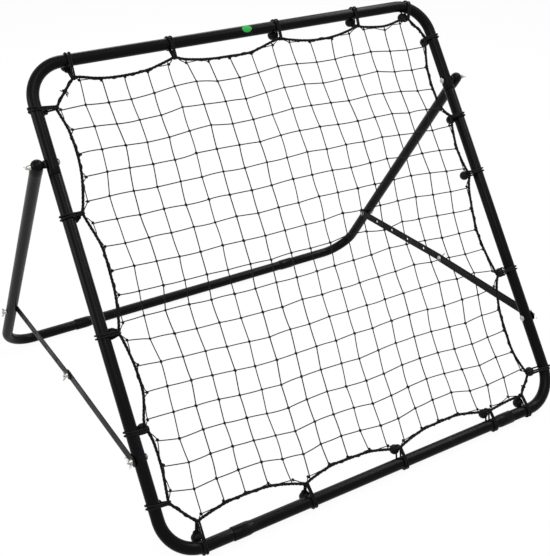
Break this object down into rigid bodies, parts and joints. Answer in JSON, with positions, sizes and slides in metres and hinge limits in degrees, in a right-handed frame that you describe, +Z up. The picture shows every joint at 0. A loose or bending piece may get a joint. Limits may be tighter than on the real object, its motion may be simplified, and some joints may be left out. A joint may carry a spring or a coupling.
{
  "type": "rebounder net",
  "caption": "Square tubular steel rebounder: a knotted net on ball bungees leans back on a folding U-shaped leg held open by hinged straps.",
  "frame": {"origin": "on the floor, under the middle of the whole rebounder", "axes": "+X to the right as seen by the player, -Y towards the player, +Z up"},
  "size_m": [1.0816, 0.916, 0.8335],
  "materials": {
    "black_powder_coat": "satin black powder coat",
    "strap_paint": "satin dark grey paint on flat bar",
    "zinc": "bright zinc plate",
    "net_twine": "black knotted polyethylene twine",
    "border_cord": "black braided cord",
    "ball_bungee": "black elastic with a moulded ball",
    "nylon": "black nylon washer"
  },
  "bodies": {
    "root": {"top_tube": "black_powder_coat", "side_tube_left": "black_powder_coat", "side_tube_right": "black_powder_coat", "bottom_tube": "black_powder_coat", "net": "net_twine", "border_cord": "border_cord", "tie_top_1": "ball_bungee", "tie_top_2": "ball_bungee", "tie_top_3": "ball_bungee", "tie_top_4": "ball_bungee", "tie_top_5": "ball_bungee", "tie_right_1": "ball_bungee", "tie_right_2": "ball_bungee", "tie_right_3": "ball_bungee", "tie_right_4": "ball_bungee", "tie_right_5": "ball_bungee", "tie_bottom_1": "ball_bungee", "tie_bottom_2": "ball_bungee", "tie_bottom_3": "ball_bungee", "tie_bottom_4": "ball_bungee", "tie_bottom_5": "ball_bungee", "tie_left_1": "ball_bungee", "tie_left_2": "ball_bungee", "tie_left_3": "ball_bungee", "tie_left_4": "ball_bungee", "tie_left_5": "ball_bungee", "hinge_bolt_left": "zinc", "hinge_bolt_right": "zinc", "lower_bolt_left": "zinc", "lower_bolt_right": "zinc", "hinge_spacer_left": "nylon", "hinge_spacer_right": "nylon"},
    "leg": {"leg_tube_left": "black_powder_coat", "leg_tube_right": "black_powder_coat", "rear_tube": "black_powder_coat", "leg_bolt_left": "zinc", "leg_bolt_right": "zinc"},
    "front_strap_left": {"front_strap_left": "strap_paint", "strap_bolt_left": "zinc"},
    "rear_strap_left": {"rear_strap_left": "strap_paint", "strap_stud_left": "zinc"},
    "hinge_nut_left": {"hinge_nut_left": "zinc"},
    "lower_nut_left": {"lower_nut_left": "zinc"},
    "leg_nut_left": {"leg_nut_left": "zinc"},
    "strap_nut_left": {"strap_nut_left": "zinc"},
    "front_strap_right": {"front_strap_right": "strap_paint", "strap_bolt_right": "zinc"},
    "rear_strap_right": {"rear_strap_right": "strap_paint", "strap_stud_right": "zinc"},
    "hinge_nut_right": {"hinge_nut_right": "zinc"},
    "lower_nut_right": {"lower_nut_right": "zinc"},
    "leg_nut_right": {"leg_nut_right": "zinc"},
    "strap_nut_right": {"strap_nut_right": "zinc"}
  },
  "joints": [
    {"name": "leg_fold", "type": "hinge", "parent": "root", "child": "leg", "pos_m": [0, 0.00402, 0.65518], "axis": [1, 0, 0], "range_deg": [-52.5, 0], "deforming": ["tie_left_3", "tie_left_4", "tie_right_4"]},
    {"name": "front_strap_left_turn", "type": "hinge", "parent": "root", "child": "front_strap_left", "pos_m": [0, -0.32981, 0.17527], "axis": [1, 0, 0], "range_deg": [0, 51]},
    {"name": "rear_strap_left_turn", "type": "hinge", "parent": "leg", "child": "rear_strap_left", "pos_m": [0, 0.33705, 0.16997], "axis": [1, 0, 0], "range_deg": [-44.7, 0]},
    {"name": "hinge_nut_left_turn", "type": "hinge", "parent": "root", "child": "hinge_nut_left", "pos_m": [-0.5298, 0.00402, 0.65518], "axis": [1, 0, 0], "continuous": true},
    {"name": "lower_nut_left_turn", "type": "hinge", "parent": "root", "child": "lower_nut_left", "pos_m": [-0.5024, -0.32981, 0.17527], "axis": [1, 0, 0], "continuous": true},
    {"name": "leg_nut_left_turn", "type": "hinge", "parent": "leg", "child": "leg_nut_left", "pos_m": [-0.5298, 0.33705, 0.16997], "axis": [1, 0, 0], "continuous": true},
    {"name": "strap_nut_left_turn", "type": "hinge", "parent": "rear_strap_left", "child": "strap_nut_left", "pos_m": [-0.5045, -0.00283, 0.17907], "axis": [1, 0, 0], "continuous": true},
    {"name": "front_strap_right_turn", "type": "hinge", "parent": "root", "child": "front_strap_right", "pos_m": [0, -0.32981, 0.17527], "axis": [1, 0, 0], "range_deg": [0, 51]},
    {"name": "rear_strap_right_turn", "type": "hinge", "parent": "leg", "child": "rear_strap_right", "pos_m": [0, 0.33705, 0.16997], "axis": [1, 0, 0], "range_deg": [-44.7, 0]},
    {"name": "hinge_nut_right_turn", "type": "hinge", "parent": "root", "child": "hinge_nut_right", "pos_m": [0.5298, 0.00402, 0.65518], "axis": [1, 0, 0], "continuous": true},
    {"name": "lower_nut_right_turn", "type": "hinge", "parent": "root", "child": "lower_nut_right", "pos_m": [0.5024, -0.32981, 0.17527], "axis": [1, 0, 0], "continuous": true},
    {"name": "leg_nut_right_turn", "type": "hinge", "parent": "leg", "child": "leg_nut_right", "pos_m": [0.5298, 0.33705, 0.16997], "axis": [1, 0, 0], "continuous": true},
    {"name": "strap_nut_right_turn", "type": "hinge", "parent": "rear_strap_right", "child": "strap_nut_right", "pos_m": [0.5045, -0.00283, 0.17907], "axis": [1, 0, 0], "continuous": true}
  ],
  "couplings": [
    {"joint": "front_strap_left_turn", "follows": "leg_fold", "ratio": -0.97109},
    {"joint": "rear_strap_left_turn", "follows": "leg_fold", "ratio": 0.85029},
    {"joint": "front_strap_right_turn", "follows": "leg_fold", "ratio": -0.97109},
    {"joint": "rear_strap_right_turn", "follows": "leg_fold", "ratio": 0.85029}
  ]
}
